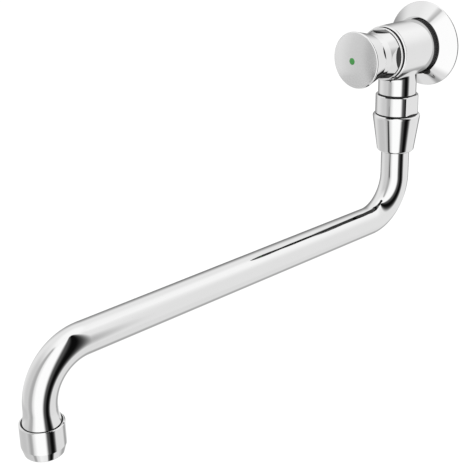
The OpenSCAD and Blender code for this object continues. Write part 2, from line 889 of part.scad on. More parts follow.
// Tube: drop under the nut, bend, horizontal arm, bend and outlet
module spout_tube() {
    arm_start = neck_s + upper_bend_r;
    arm_end = outlet_s - lower_bend_r;
    color("silver")
        union() {
            translate([0, -neck_s, arm_z + upper_bend_r])
                linear_extrude(height = collar_top - arm_z - upper_bend_r)
                    tube_section();
            tube_bend([0, -arm_start, arm_z + upper_bend_r], upper_bend_r, -90);
            translate([0, -arm_start, arm_z])
                rotate([90, 0, 0])
                    linear_extrude(height = arm_end - arm_start)
                        tube_section();
            tube_bend([0, -arm_end, lower_bend_end], lower_bend_r, 90);
            translate([0, -outlet_s, tube_end])
                linear_extrude(height = lower_bend_end - tube_end)
                    tube_section();
        }
}

// Flared threaded end brazed on the tube
module outlet_fitting() {
    flare_steps = 6;
    flare_profile = [
        for (i = [0:flare_steps])
            let (t = i / flare_steps)
            [flare_lip_r + (flare_end_r - flare_lip_r) * t * t, aerator_top + flare_h * (1 - t)]
    ];
    color("silver")
        turned_on_outlet(concat(
            [[fitting_bore_r, aerator_top + flare_h]],
            flare_profile,
            [
                [aerator_thread_r, aerator_top], [aerator_thread_r, outlet_thread_end],
                [tube_bore_r, outlet_thread_end], [tube_bore_r, tube_end - push_gap],
                [fitting_bore_r, tube_end - push_gap]
            ]
        ));
}

// Chromed ring with a tapered foot and an inner lip that carries the jet former
module aerator_housing() {
    color("silver")
        turned_on_outlet([
            [aerator_bore_r, aerator_top], [aerator_r - aerator_edge, aerator_top],
            [aerator_r, aerator_top - aerator_edge], [aerator_r, aerator_bottom + aerator_taper_h],
            [aerator_foot_r, aerator_bottom + aerator_edge], [aerator_foot_r - aerator_edge, aerator_bottom],
            [aerator_lip_r, aerator_bottom], [aerator_lip_r, insert_shelf - push_gap],
            [aerator_bore_r, insert_shelf - push_gap]
        ]);
}

// Rubber washer between the outlet's thread and the strainer
module aerator_washer() {
    color([0.08, 0.08, 0.08])
        turned_on_outlet([
            [tube_bore_r, washer_bottom], [insert_flange_r, washer_bottom],
            [insert_flange_r, washer_top], [tube_bore_r, washer_top]
        ]);
}

// Fine strainer on top of the jet former
module aerator_screen() {
    color("lightsteelblue")
        translate([0, -outlet_s, screen_bottom])
            difference() {
                cylinder(h = screen_t, r = insert_flange_r);
                for (p = hex_grid(screen_pitch, screen_rows))
                    if (norm(p) + screen_hole_d < tube_bore_r)
                        translate([p.x, p.y, -cut])
                            cylinder(h = screen_t + 2 * cut, r = screen_hole_d / 2, $fn = 6);
            }
}

// Plastic jet former with hexagon cells
module aerator_insert() {
    color("whitesmoke")
        difference() {
            turned_on_outlet([
                [0, insert_bottom], [insert_r, insert_bottom], [insert_r, insert_shelf],
                [insert_flange_r, insert_shelf], [insert_flange_r, screen_bottom], [0, screen_bottom]
            ]);
            for (p = hex_grid(cell_pitch, cell_rows))
                if (norm(p) + cell_d / 2 < insert_r - cell_wall)
                    translate([p.x, p.y - outlet_s, insert_bottom - cut])
                        cylinder(h = screen_bottom - insert_bottom + 2 * cut, r = cell_d / 2, $fn = 6);
        }
}

wall_rosette();
rosette_spacer();
valve_body();
inlet_filter();
valve_seat();
cartridge_housing();
housing_o_rings();
return_spring();
cartridge_bonnet();
bonnet_o_ring();
guide_bush();
spindle_o_ring();
metering_needle();
push_button();
button_plug();
button_screw();
valve_spindle();
timing_piston();
piston_lip_seal();
piston_nut();
valve_disc();
valve_washer();
valve_nut();
swivel_connector();
connector_gasket();
swivel_nut();
slip_washer();
spout_collar();
spout_o_rings();
spout_tube();
outlet_fitting();
aerator_housing();
aerator_washer();
aerator_screen();
aerator_insert();
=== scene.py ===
import bpy
import numpy as np
from mathutils import Matrix


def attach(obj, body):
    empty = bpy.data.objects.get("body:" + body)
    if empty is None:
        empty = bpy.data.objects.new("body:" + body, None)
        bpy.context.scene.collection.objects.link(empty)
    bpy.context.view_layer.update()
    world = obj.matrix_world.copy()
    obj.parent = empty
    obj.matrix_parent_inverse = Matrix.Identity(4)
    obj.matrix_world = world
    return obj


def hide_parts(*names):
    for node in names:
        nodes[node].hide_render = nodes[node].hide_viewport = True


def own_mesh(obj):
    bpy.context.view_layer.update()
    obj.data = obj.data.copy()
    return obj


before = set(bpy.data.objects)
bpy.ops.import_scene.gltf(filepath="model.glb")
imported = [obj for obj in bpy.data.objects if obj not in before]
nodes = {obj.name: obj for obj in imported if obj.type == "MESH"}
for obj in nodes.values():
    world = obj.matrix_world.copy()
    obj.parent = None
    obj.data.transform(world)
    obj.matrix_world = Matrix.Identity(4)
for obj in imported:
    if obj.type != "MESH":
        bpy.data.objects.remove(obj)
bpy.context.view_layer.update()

# Wall rosette: a shallow cone spun from thin brass sheet, polished and chromed.
# Its flat rim lies on the wall and hides the hole that the inlet comes through; the spacer presses on its web.
ROUND = np.linspace(0, 2 * np.pi, 193)
ARC_STEPS = 8
CORNER = ARC_STEPS + 1


def rounded(corners, steps=ARC_STEPS):
    """Closed half profile with rounded corners. A corner is a radius, a height and the radius of its rounding, all
    in millimetres, and the path runs with the metal on its left. The path leaves its straight line a tangent length
    before each corner, which is the rounding times the tangent of half the turn, and goes round on an arc. Gives the
    points, one more for each corner than it has steps, and the outward normals, which are the heading turned to the
    right."""
    c = np.array(corners, float)
    ahead = np.roll(c[:, :2], -1, 0) - c[:, :2]
    heading = np.arctan2(ahead[:, 1], ahead[:, 0])
    before = np.roll(heading, 1)
    turn = (heading - before + np.pi) % (2 * np.pi) - np.pi
    back = c[:, 2] * np.tan(np.abs(turn) / 2)
    start = c[:, :2] - back[:, None] * np.stack([np.cos(before), np.sin(before)], 1)
    way = before[:, None] + turn[:, None] * np.linspace(0, 1, steps + 1)
    side = (c[:, 2] * np.sign(turn))[:, None]
    r = start[:, :1] + side * (np.sin(way) - np.sin(before)[:, None])
    h = start[:, 1:] - side * (np.cos(way) - np.cos(before)[:, None])
    points = np.stack([r, h], -1).reshape(-1, 2)
    normals = np.stack([np.sin(way), -np.cos(way)], -1).reshape(-1, 2)
    return np.concatenate([points, points[:1]]), np.concatenate([normals, normals[:1]])


def about_tap(profile, turn=ROUND):
    """Carries a half profile round the tap's axis: the radius times the cosine and sine of the turn gives x and z,
    and the height is the reach from the wall, which runs against y. Metres come out."""
    (r, h), (nr, nh) = profile[0].T[..., None], profile[1].T[..., None]
    c, s = np.cos(turn), np.sin(turn)
    return 0.001 * np.stack([r * c, 0 * c - h, r * s], -1), np.stack([nr * c, 0 * c - nh, nr * s], -1)


def sew(name, patches):
    """Joins grid patches, each an array of points and one of normals, into one mesh. Points that meet become one,
    quads that shrink to a line go, those that shrink to three corners become triangles, and each face corner keeps
    the normal of its own patch, so that turned sides are smooth and edges stay crisp."""
    points = np.concatenate([p.reshape(-1, 3) for p, n in patches])
    normals = np.concatenate([n.reshape(-1, 3) for p, n in patches])
    quads, first = [], 0
    for p, n in patches:
        index = first + np.arange(p[..., 0].size).reshape(p.shape[:2])
        quads.append(np.stack([index[:-1, :-1], index[:-1, 1:], index[1:, 1:], index[1:, :-1]], -1).reshape(-1, 4))
        first += index.size
    quads = np.concatenate(quads)
    a, b, c, d = points[quads].transpose(1, 0, 2)
    inward = (np.cross(c - a, d - b) * normals[quads].sum(1)).sum(1) < 0
    quads[inward] = quads[inward][:, ::-1]
    grid = np.round(points / 2e-7).astype(np.int64)
    _, place, merged = np.unique(grid, axis=0, return_index=True, return_inverse=True)
    merged = merged.ravel()
    own = merged[quads] != np.roll(merged[quads], -1, 1)
    four = quads[own.sum(1) == 4]
    three = own.sum(1) == 3
    three = quads[three][own[three]].reshape(-1, 3)
    mesh = bpy.data.meshes.new(name)
    mesh.from_pydata(points[place].tolist(), [], merged[four].tolist() + merged[three].tolist())
    mesh.normals_split_custom_set(normals[np.concatenate([four.ravel(), three.ravel()])].tolist())
    obj = bpy.data.objects.new(name, mesh)
    bpy.context.scene.collection.objects.link(obj)
    return obj


def plating_group():
    """Polished plating: a slow cloud of haze, a finer mottle and short polishing streaks. Gives the plating's colour,
    a little darker in the haze, its roughness, and a height for the faint waviness of a hand-polished piece."""
    group = bpy.data.node_groups.new("polished_plating", "ShaderNodeTree")
    for label, kind, way in (("Colour", "NodeSocketColor", "INPUT"), ("Roughness", "NodeSocketFloat", "INPUT"),
                             ("Haze", "NodeSocketFloat", "INPUT"), ("Colour", "NodeSocketColor", "OUTPUT"),
                             ("Roughness", "NodeSocketFloat", "OUTPUT"), ("Height", "NodeSocketFloat", "OUTPUT")):
        group.interface.new_socket(name=label, in_out=way, socket_type=kind)
    new, link = group.nodes.new, group.links.new
    given, out = new("NodeGroupInput"), new("NodeGroupOutput")
    where = new("ShaderNodeTexCoord")
    cloud, mottle, streak = new("ShaderNodeTexNoise"), new("ShaderNodeTexNoise"), new("ShaderNodeTexNoise")
    cloud.inputs["Scale"].default_value, cloud.inputs["Detail"].default_value = 55.0, 3.0
    mottle.inputs["Scale"].default_value, mottle.inputs["Detail"].default_value = 900.0, 2.0
    streak.inputs["Scale"].default_value, streak.inputs["Detail"].default_value = 260.0, 1.0
    stretch = new("ShaderNodeMapping")
    stretch.inputs["Scale"].default_value = (6.0, 0.5, 6.0)
    link(where.outputs["Object"], cloud.inputs["Vector"])
    link(where.outputs["Object"], mottle.inputs["Vector"])
    link(where.outputs["Object"], stretch.inputs["Vector"])
    link(stretch.outputs["Vector"], streak.inputs["Vector"])
    blend = new("ShaderNodeMath")
    blend.operation = "MULTIPLY_ADD"
    blend.inputs[1].default_value = 0.35
    link(mottle.outputs["Fac"], blend.inputs[0])
    link(streak.outputs["Fac"], blend.inputs[2])
    haze = new("ShaderNodeMath")
    haze.operation = "MULTIPLY"
    link(cloud.outputs["Fac"], haze.inputs[0])
    link(blend.outputs["Value"], haze.inputs[1])
    rough = new("ShaderNodeMath")
    rough.operation = "MULTIPLY_ADD"
    link(haze.outputs["Value"], rough.inputs[0])
    link(given.outputs["Haze"], rough.inputs[1])
    link(given.outputs["Roughness"], rough.inputs[2])
    dim = new("ShaderNodeMath")
    dim.operation = "MULTIPLY_ADD"
    dim.inputs[1].default_value, dim.inputs[2].default_value = -0.03, 1.0
    link(haze.outputs["Value"], dim.inputs[0])
    tint = new("ShaderNodeVectorMath")
    tint.operation = "SCALE"
    link(given.outputs["Colour"], tint.inputs[0])
    link(dim.outputs["Value"], tint.inputs["Scale"])
    link(tint.outputs["Vector"], out.inputs["Colour"])
    link(rough.outputs["Value"], out.inputs["Roughness"])
    link(cloud.outputs["Fac"], out.inputs["Height"])
    return group


PLATING = plating_group()


def plated(name, colour, roughness, haze, wave, fade=0.93):
    """A metal with the polished plating: its colour, its least roughness, how much the haze adds to that, and the
    height of its waviness in metres. For rays that come from a reflection the colour loses the fade's share: painted
    shade, so that what metal shows of other metal is a painted reflection, nearly black."""
    mat = bpy.data.materials.new(name)
    mat.use_nodes = True
    tree = mat.node_tree
    metal = tree.nodes["Principled BSDF"]
    metal.inputs["Metallic"].default_value = 1.0
    skin = tree.nodes.new("ShaderNodeGroup")
    skin.node_tree = PLATING
    skin.inputs["Colour"].default_value = (*colour, 1)
    skin.inputs["Roughness"].default_value = roughness
    skin.inputs["Haze"].default_value = haze
    bump = tree.nodes.new("ShaderNodeBump")
    bump.inputs["Strength"].default_value = 1.0
    bump.inputs["Distance"].default_value = wave
    # Painted dark reflection: for glossy rays the colour is cut by the fade's share, so metal seen in metal shows
    # nearly black.
    path, left, shade = (tree.nodes.new("ShaderNode" + kind) for kind in ("LightPath", "Math", "VectorMath"))
    left.operation, shade.operation = "MULTIPLY_ADD", "SCALE"
    left.inputs[1].default_value, left.inputs[2].default_value = -fade, 1.0
    tree.links.new(path.outputs["Is Glossy Ray"], left.inputs[0])
    tree.links.new(skin.outputs["Colour"], shade.inputs[0])
    tree.links.new(left.outputs["Value"], shade.inputs["Scale"])
    tree.links.new(shade.outputs["Vector"], metal.inputs["Base Color"])
    tree.links.new(skin.outputs["Roughness"], metal.inputs["Roughness"])
    tree.links.new(skin.outputs["Height"], bump.inputs["Height"])
    tree.links.new(bump.outputs["Normal"], metal.inputs["Normal"])
    return mat


CHROME = (0.73, 0.73, 0.73)
spun_chrome = plated("spun_chrome", CHROME, 0.015, 0.03, 0.000004, 0.3)
rosette = sew("rosette", [about_tap(rounded([
    (28.6, 0, 0.1), (30, 0, 0.12), (30, 0.72, 1.2), (20.3, 9, 0.5), (10.68, 9, 0.15), (10.68, 7.8, 0.15),
    (20.3, 7.8, 0.4)]))])
rosette.data.materials.append(spun_chrome)
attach(rosette, "tap_body")
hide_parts("wall_rosette")

# Spacer: a moulded black rubber ring that fills the gap between the rosette's web and the barrel.
# The rosette can be pressed along it until its rim meets the wall; a shallow bead runs round its middle.


def rubber(name, colour, roughness, grain):
    """Moulded rubber: near black with a cloudy bloom, and the fine pitted skin of its mould as bump."""
    mat = bpy.data.materials.new(name)
    mat.use_nodes = True
    tree = mat.node_tree
    new, link = tree.nodes.new, tree.links.new
    skin = tree.nodes["Principled BSDF"]
    where, bloom, pits = new("ShaderNodeTexCoord"), new("ShaderNodeTexNoise"), new("ShaderNodeTexNoise")
    bloom.inputs["Scale"].default_value, bloom.inputs["Detail"].default_value = 160.0, 4.0
    pits.inputs["Scale"].default_value, pits.inputs["Detail"].default_value = grain, 2.0
    tone, dull, bump = new("ShaderNodeValToRGB"), new("ShaderNodeMapRange"), new("ShaderNodeBump")
    tone.color_ramp.elements[0].color = (*(0.7 * v for v in colour), 1)
    tone.color_ramp.elements[1].color = (*(1.5 * v for v in colour), 1)
    dull.inputs["To Min"].default_value, dull.inputs["To Max"].default_value = roughness - 0.08, roughness + 0.1
    bump.inputs["Strength"].default_value, bump.inputs["Distance"].default_value = 0.4, 0.00004
    link(where.outputs["Object"], bloom.inputs["Vector"])
    link(where.outputs["Object"], pits.inputs["Vector"])
    link(bloom.outputs["Fac"], tone.inputs["Fac"])
    link(pits.outputs["Fac"], dull.inputs["Value"])
    link(pits.outputs["Fac"], bump.inputs["Height"])
    link(tone.outputs["Color"], skin.inputs["Base Color"])
    link(dull.outputs["Result"], skin.inputs["Roughness"])
    link(bump.outputs["Normal"], skin.inputs["Normal"])
    return mat


spacer_rubber = rubber("spacer_rubber", (0.006, 0.006, 0.0065), 0.36, 1800.0)
spacer = sew("spacer", [about_tap(rounded([
    (10.58, 9, 0.2), (17.7, 9, 0.4), (17.7, 10.1, 0.3), (18.2, 10.4, 0.35), (18.2, 11.6, 0.35), (17.7, 11.9, 0.3),
    (17.7, 12.8, 0.4), (10.58, 12.8, 0.2)]))])
spacer.data.materials.append(spacer_rubber)
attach(spacer, "tap_body")
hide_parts("rosette_spacer")

# Valve body: one brass casting, turned, ground and chromed, with the barrel, the outlet neck under it and the
# threaded inlet tail behind it. Barrel and neck run into each other in a ground fillet, wider at the neck's sides.
BARREL, NECK, FILLET, SIDE_FILLET, NECK_REACH = 19.0, 13.35, 1.6, 6.0, 28.5
REAR_EDGE, FRONT_EDGE, SADDLE = 13.3, 42.5, np.radians(60)
QUARTER = 64


def about_drop(profile, reach, turn=ROUND):
    """Carries a half profile round an upright axis at the given reach: the radius times the cosine of the turn is x,
    times its sine is added to y, and the height is z. Metres come out."""
    (r, h), (nr, nh) = profile[0].T[..., None], profile[1].T[..., None]
    c, s = np.cos(turn), np.sin(turn)
    return 0.001 * np.stack([r * c, r * s - reach, h + 0 * c], -1), np.stack([nr * c, nr * s, nh + 0 * c], -1)


def on_barrel(angle, y):
    """Points on the barrel's side from the angle off straight down and the place along y, with radial normals."""
    normal = np.stack([np.sin(angle), 0 * angle, -np.cos(angle)], -1)
    return 0.001 * (BARREL * normal + np.stack([0 * y, y, 0 * y], -1)), normal


def body_casting():
    """Patches of the body. The fillet is the path of a ball that rolls along barrel and neck and swells towards the
    neck's sides, by the square of the cosine of the turn: its centre is one fillet radius outside both, so x and y go
    round a circle of neck plus fillet and z lies on a circle of barrel plus fillet. From where the ball touches the
    barrel, straight lines on the unrolled barrel lead out to a rectangle, and the rest of the barrel is a plain grid
    that shares the rectangle's edges."""
    phi = np.linspace(0, 2 * np.pi, 4 * QUARTER + 1)
    inside = rounded([(0, -16, 0), (5.6, -16, 0), (5.6, -21, 0), (10.58, -21, 0), (10.58, -30.6, 0.3),
                      (NECK, -30.6, 0.35), (NECK, -17, 0), (0, -17, 0)])
    neck = about_drop((inside[0][:6 * CORNER], inside[1][:6 * CORNER]), NECK_REACH, phi)
    out = np.stack([np.cos(phi), np.sin(phi), 0 * phi], -1)
    ball = FILLET + (SIDE_FILLET - FILLET) * np.cos(phi) ** 2
    x = (NECK + ball) * np.cos(phi)
    z = -np.sqrt((BARREL + ball) ** 2 - x ** 2)
    centre = np.stack([x, (NECK + ball) * np.sin(phi) - NECK_REACH, z], -1)
    to_barrel = -np.stack([x, 0 * x, z], -1) / (BARREL + ball)[:, None]
    opening = np.arccos((-out * to_barrel).sum(-1))[None, :, None]
    u = np.linspace(0, 1, 13)[:, None, None]
    way = (np.sin((1 - u) * opening) * -out + np.sin(u * opening) * to_barrel) / np.sin(opening)
    fillet = 0.001 * (centre + ball[:, None] * way), -way
    side = np.stack([neck[0][-1], 0.001 * (centre - ball[:, None] * out)]), np.stack([out, out])
    angle, y = np.arcsin(x / (BARREL + ball)), centre[:, 1]
    share = np.maximum(np.abs(np.cos(phi)), np.abs(np.sin(phi)))
    room = np.where(np.sin(phi) > 0, NECK_REACH - REAR_EDGE, FRONT_EDGE - NECK_REACH)
    t = np.linspace(0, 1, 9)[:, None]
    saddle = on_barrel(angle + t * (SADDLE * np.cos(phi) / share - angle),
                       y + t * (room * np.sin(phi) / share - NECK_REACH - y))
    tan = np.tan(np.linspace(-np.pi / 4, np.pi / 4, QUARTER + 1))
    rest = np.linspace(SADDLE, 2 * np.pi - SADDLE, 3 * QUARTER + 1)
    along = tan * np.where(tan > 0, NECK_REACH - REAR_EDGE, FRONT_EDGE - NECK_REACH) - NECK_REACH
    barrel = on_barrel(*np.meshgrid(rest, along, indexing="ij"))
    return [neck, side, fillet, saddle, barrel], np.concatenate([SADDLE * tan, rest[1:]]) - np.pi / 2


def inlet_thread(turn, crest=10.4775, depth=1.162, pitch=1.814):
    """Half inch pipe thread behind the wall: a rounded ridge whose phase is the turn plus one round per pitch. It
    fades in and out at its ends. The normal leans against the radius's change along the turn and along the reach."""
    reach = np.linspace(-12, 0, 200)[:, None]
    fade = np.clip((reach + 12) / 1.6, 0, 1) * np.clip(-reach / 1.4, 0, 1)
    phase = 2 * np.pi * reach / pitch + turn
    wave = 0.5 - 0.5 * np.clip(1.35 * np.cos(phase), -1, 1)
    slope = np.where(np.abs(1.35 * np.cos(phase)) < 1, 0.675 * np.sin(phase), 0.0)
    r = crest - depth * fade * wave
    round_slope, reach_slope = -depth * fade * slope / r, -depth * fade * slope * 2 * np.pi / pitch
    c, s = np.cos(turn), np.sin(turn)
    normal = np.stack([c + round_slope * s, reach_slope, s - round_slope * c], -1)
    normal /= np.linalg.norm(normal, axis=-1, keepdims=True)
    return 0.001 * np.stack([r * c, 0 * r - reach, r * s], -1), normal


patches, turn = body_casting()
points, normals = rounded([
    (BARREL, 42.75, 0.05), (18.6, 43, 0.05), (BARREL, 43.25, 0.05), (BARREL, 43.75, 0.25), (18.35, 44.4, 0.25),
    (16, 44.4, 0.2), (16, 38, 0), (15, 38, 0), (15, 18, 0), (10.03, 18, 0), (10.03, 15.4, 0), (7.98, 15.4, 0),
    (7.98, -13, 0.3), (9.48, -13, 0.2), (10.4775, -12, 0), (10.4775, 0, 0), (10.18, 0, 0), (10.18, 12.8, 0),
    (18.65, 12.8, 0.15), (BARREL, 13.15, 0.15)])
tail = 15 * CORNER
front = np.concatenate([[(BARREL, FRONT_EDGE)], points[:tail]]), np.concatenate([[(1, 0)], normals[:tail]])
rear = np.concatenate([points[tail:-1], [(BARREL, REAR_EDGE)]]), np.concatenate([normals[tail:-1], [(1, 0)]])
cast_chrome = plated("cast_chrome", CHROME, 0.012, 0.03, 0.000006)
body = sew("body_casting", [*patches, about_tap(front, turn), inlet_thread(turn), about_tap(rear, turn)])
body.data.materials.append(cast_chrome)
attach(body, "tap_body")
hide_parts("valve_body")

# Cartridge inside the barrel: a moulded sleeve on a brass seat with a strainer before it, and on the spindle a
# timing piston, nuts, disc and washer. None of it shows, so the solids stay and get their own finishes.


def moulded(name, colour, roughness):
    """Moulded plastic: faint flow clouds in the colour, a roughness that follows them and a fine sparked skin."""
    mat = bpy.data.materials.new(name)
    mat.use_nodes = True
    tree = mat.node_tree
    new, link = tree.nodes.new, tree.links.new
    skin = tree.nodes["Principled BSDF"]
    where, flow, spark = new("ShaderNodeTexCoord"), new("ShaderNodeTexNoise"), new("ShaderNodeTexNoise")
    flow.inputs["Scale"].default_value, flow.inputs["Detail"].default_value = 120.0, 3.0
    spark.inputs["Scale"].default_value, spark.inputs["Detail"].default_value = 2500.0, 1.0
    tone, dull, bump = new("ShaderNodeValToRGB"), new("ShaderNodeMapRange"), new("ShaderNodeBump")
    tone.color_ramp.elements[0].color = (*(0.92 * v for v in colour), 1)
    tone.color_ramp.elements[1].color = (*(min(1.05 * v, 1) for v in colour), 1)
    dull.inputs["To Min"].default_value, dull.inputs["To Max"].default_value = roughness - 0.06, roughness + 0.06
    bump.inputs["Strength"].default_value, bump.inputs["Distance"].default_value = 0.2, 0.00002
    link(where.outputs["Object"], flow.inputs["Vector"])
    link(where.outputs["Object"], spark.inputs["Vector"])
    link(flow.outputs["Fac"], tone.inputs["Fac"])
    link(flow.outputs["Fac"], dull.inputs["Value"])
    link(spark.outputs["Fac"], bump.inputs["Height"])
    link(tone.outputs["Color"], skin.inputs["Base Color"])
    link(dull.outputs["Result"], skin.inputs["Roughness"])
    link(bump.outputs["Normal"], skin.inputs["Normal"])
    return mat


def refinish(finishes):
    """Gives solids that keep their shape their finish: each finish comes with the names of its solids."""
    for finish, names in finishes.items():
        for name in names:
            nodes[name].data.materials.clear()
            nodes[name].data.materials.append(finish)


turned_brass = plated("turned_brass", (0.78, 0.60, 0.30), 0.2, 0.25, 0.000006)
drawn_steel = plated("drawn_steel", (0.62, 0.63, 0.65), 0.22, 0.2, 0.000006)
white_acetal = moulded("white_acetal", (0.80, 0.80, 0.78), 0.45)
seal_rubber = rubber("seal_rubber", (0.010, 0.010, 0.011), 0.45, 2400.0)
refinish({
    white_acetal: ["inlet_filter", "cartridge_housing", "timing_piston"],
    turned_brass: ["valve_seat", "piston_nut", "valve_disc", "valve_nut"],
    seal_rubber: ["housing_o_rings", "piston_lip_seal", "valve_washer"],
    drawn_steel: ["metering_needle", "valve_spindle"],
})

# Return spring: a compression spring of stainless wire, wound with an even pitch and cut square at its ends.
# It stands between the sleeve's floor and the timing piston, and a push on the button presses it together.
COIL, WIRE, TURNS, STROKE = 8.6, 0.6, 5.5, 6.0
SPRING_REAR, SPRING_FRONT = 20.55, 37.95


def wound_wire(rows=353):
    """Spring wire: along the wire the turn and the reach grow evenly together, and round it a circle lies in a plane
    through the tap's axis, its cosine added to the coil's radius and its sine to the reach. A disc closes each end."""
    turn = np.linspace(0, 2 * np.pi * TURNS, rows)[:, None]
    reach = np.linspace(SPRING_REAR + WIRE, SPRING_FRONT - WIRE, rows)[:, None]
    rim = np.linspace(0, 2 * np.pi, 17)
    c, s, r = np.cos(turn), np.sin(turn), COIL + WIRE * np.cos(rim)
    skin = 0.001 * np.stack([r * c, -reach - WIRE * np.sin(rim), r * s], -1)
    made = [(skin, np.stack([np.cos(rim) * c, 0 * c - np.sin(rim), np.cos(rim) * s], -1))]
    for k, sign in ((0, 1), (-1, -1)):
        middle = 0.001 * np.array([COIL * c[k, 0], -reach[k, 0], COIL * s[k, 0]])
        disc = np.stack([skin[k], np.zeros(skin[k].shape) + middle])
        made.append((disc, np.zeros(disc.shape) + sign * np.array([s[k, 0], 0, -c[k, 0]])))
    return made


spring = sew("spring", wound_wire())
spring.data.materials.append(drawn_steel)
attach(spring, "tap_body")
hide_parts("return_spring")
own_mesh(spring)

# Bonnet: turned brass, screwed into the barrel over a sealing ring that sits in the groove behind its flange.
# Its flared foot has four spanner flats, and the button slides on its nose; a plastic bush guides the spindle.
FLAT, FLARE_FOOT, FLARE_TOP, FLANGE_EDGE, FLANGE_FRONT, FLARE_END = 15.5, 17.2, 15.4, 17.75, 47.5, 55.0


def flat_columns(half, folds, arc=48, chord=16):
    """Turns of the columns round a piece with flats, where half is the angle from the middle of a flat to its edge:
    even steps of the tangent over each flat, even angles over the arcs between."""
    flat = np.arctan(np.linspace(-1, 1, chord + 1) * np.tan(half))
    between = half + np.linspace(0, 1, arc + 1) * (2 * np.pi / folds - 2 * half)
    step = 2 * np.pi / folds * np.arange(folds)[:, None]
    return flat + step, between + step


def ring_row(r, h, turn):
    """One row of points round the tap's axis with a given radius and reach, in metres."""
    return 0.001 * np.stack([r * np.cos(turn), 0 * turn - h, r * np.sin(turn)], -1)


def bonnet_foot():
    """Flared foot: at each reach the cone's radius is cut by the flats, whose half angle is the arc cosine of flat
    over radius. Cone and flats are patches of their own, and under them lies the flange's front."""
    last = FLANGE_FRONT + (FLARE_END - FLANGE_FRONT) * (FLARE_FOOT - FLAT) / (FLARE_FOOT - FLARE_TOP)
    reach = FLANGE_FRONT + (last - FLANGE_FRONT) * (1 - np.linspace(1, 0, 25) ** 2)
    r = FLARE_FOOT + (FLARE_TOP - FLARE_FOOT) * (reach - FLANGE_FRONT) / (FLARE_END - FLANGE_FRONT)
    half = np.arccos(np.minimum(FLAT / r, 1))
    lean = np.array([FLARE_END - FLANGE_FRONT, FLARE_FOOT - FLARE_TOP])
    lean = lean / np.hypot(*lean)
    flats, cones = zip(*[flat_columns(a, 4) for a in half])
    flats, cones = np.stack(flats, 1), np.stack(cones, 1)
    made = []
    for k in range(4):
        turn = cones[k]
        made.append((ring_row(r[:, None], reach[:, None], turn),
                     np.stack([lean[0] * np.cos(turn), 0 * turn - lean[1], lean[0] * np.sin(turn)], -1)))
        foot = np.stack([ring_row(FLANGE_EDGE, FLANGE_FRONT, turn[0]), ring_row(FLARE_FOOT, FLANGE_FRONT, turn[0])])
        made.append((foot, np.zeros(foot.shape) + (0, -1, 0)))
        turn, middle = flats[k], k * np.pi / 2
        made.append((ring_row(FLAT / np.cos(turn - middle), reach[:, None], turn),
                     np.zeros((*turn.shape, 3)) + (np.cos(middle), 0, np.sin(middle))))
        ledge = np.stack([ring_row(FLANGE_EDGE, FLANGE_FRONT, turn[0]),
                          ring_row(FLAT / np.cos(turn[0] - middle), FLANGE_FRONT, turn[0])])
        made.append((ledge, np.zeros(ledge.shape) + (0, -1, 0)))
    return made, half[0], last


patches, half, last = bonnet_foot()
points, normals = rounded([
    (FLARE_TOP, FLARE_END, 0.8), (15.4, 64.1, 0.4), (13, 64.1, 0.2), (13, 58, 0), (5.45, 58, 0), (5.45, 55, 0),
    (5, 55, 0), (5, 53, 0), (3.05, 53, 0), (3.05, 52, 0), (11, 52, 0), (11, 38, 0), (15.9, 38, 0.4),
    (15.9, 44.4, 0), (15.4, 44.4, 0), (15.4, 46.2, 0.2), (18.2, 46.2, 0.2), (18.2, 47.05, 0.3),
    (FLANGE_EDGE, FLANGE_FRONT, 0.1), (FLARE_FOOT, FLANGE_FRONT, 0)])
points, normals = points[:19 * CORNER], normals[:19 * CORNER]
cone_row = np.array([[FLAT, last]]), normals[:1]
points, normals = np.concatenate([cone_row[0], points]), np.concatenate([cone_row[1], normals])
points[-1] = FLANGE_EDGE, FLANGE_FRONT
spread = half * np.linspace(0, 1, len(points))
turn = np.stack([np.concatenate([np.concatenate([f, c[1:]]) for f, c in zip(*flat_columns(a, 4))]) for a in spread])
bonnet_chrome = plated("bonnet_chrome", CHROME, 0.015, 0.03, 0.000003)
bonnet = sew("bonnet", [*patches, about_tap((points, normals), turn)])
bonnet.data.materials.append(bonnet_chrome)
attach(bonnet, "tap_body")
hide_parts("cartridge_bonnet")
bonnet_seal = sew("bonnet_seal", [about_tap(rounded([
    (15.45, 44.45, 0.85), (17.15, 44.45, 0.85), (17.15, 46.15, 0.85), (15.45, 46.15, 0.85)]))])
bonnet_seal.data.materials.append(seal_rubber)
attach(bonnet_seal, "tap_body")
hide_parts("bonnet_o_ring")
refinish({white_acetal: ["guide_bush"], seal_rubber: ["spindle_o_ring"]})

# Push button: a turned brass mushroom, polished on its conical side and satin on its domed face.
# A headless screw under the green plug clamps it to the spindle.


def button_finish():
    """The plating of the button: polished on the side, and on the face, where y lies beyond the bevel, rougher with
    fine rings of the lathe tool about the tap's axis."""
    mat = plated("button_chrome", CHROME, 0.012, 0.03, 0.000003)
    tree = mat.node_tree
    new, link = tree.nodes.new, tree.links.new
    metal = tree.nodes["Principled BSDF"]
    skin = metal.inputs["Roughness"].links[0].from_node
    where, split, face = new("ShaderNodeTexCoord"), new("ShaderNodeSeparateXYZ"), new("ShaderNodeMapRange")
    face.inputs["From Min"].default_value, face.inputs["From Max"].default_value = -0.07405, -0.07422
    rings = new("ShaderNodeTexWave")
    rings.wave_type, rings.rings_direction = "RINGS", "Y"
    rings.inputs["Scale"].default_value, rings.inputs["Distortion"].default_value = 520.0, 1.5
    satin, pick = new("ShaderNodeMapRange"), new("ShaderNodeMix")
    satin.inputs["To Min"].default_value, satin.inputs["To Max"].default_value = 0.17, 0.27
    link(where.outputs["Object"], split.inputs["Vector"])
    link(where.outputs["Object"], rings.inputs["Vector"])
    link(split.outputs["Y"], face.inputs["Value"])
    link(rings.outputs["Fac"], satin.inputs["Value"])
    link(face.outputs["Result"], pick.inputs["Factor"])
    link(skin.outputs["Roughness"], pick.inputs["A"])
    link(satin.outputs["Result"], pick.inputs["B"])
    link(pick.outputs["Result"], metal.inputs["Roughness"])
    return mat


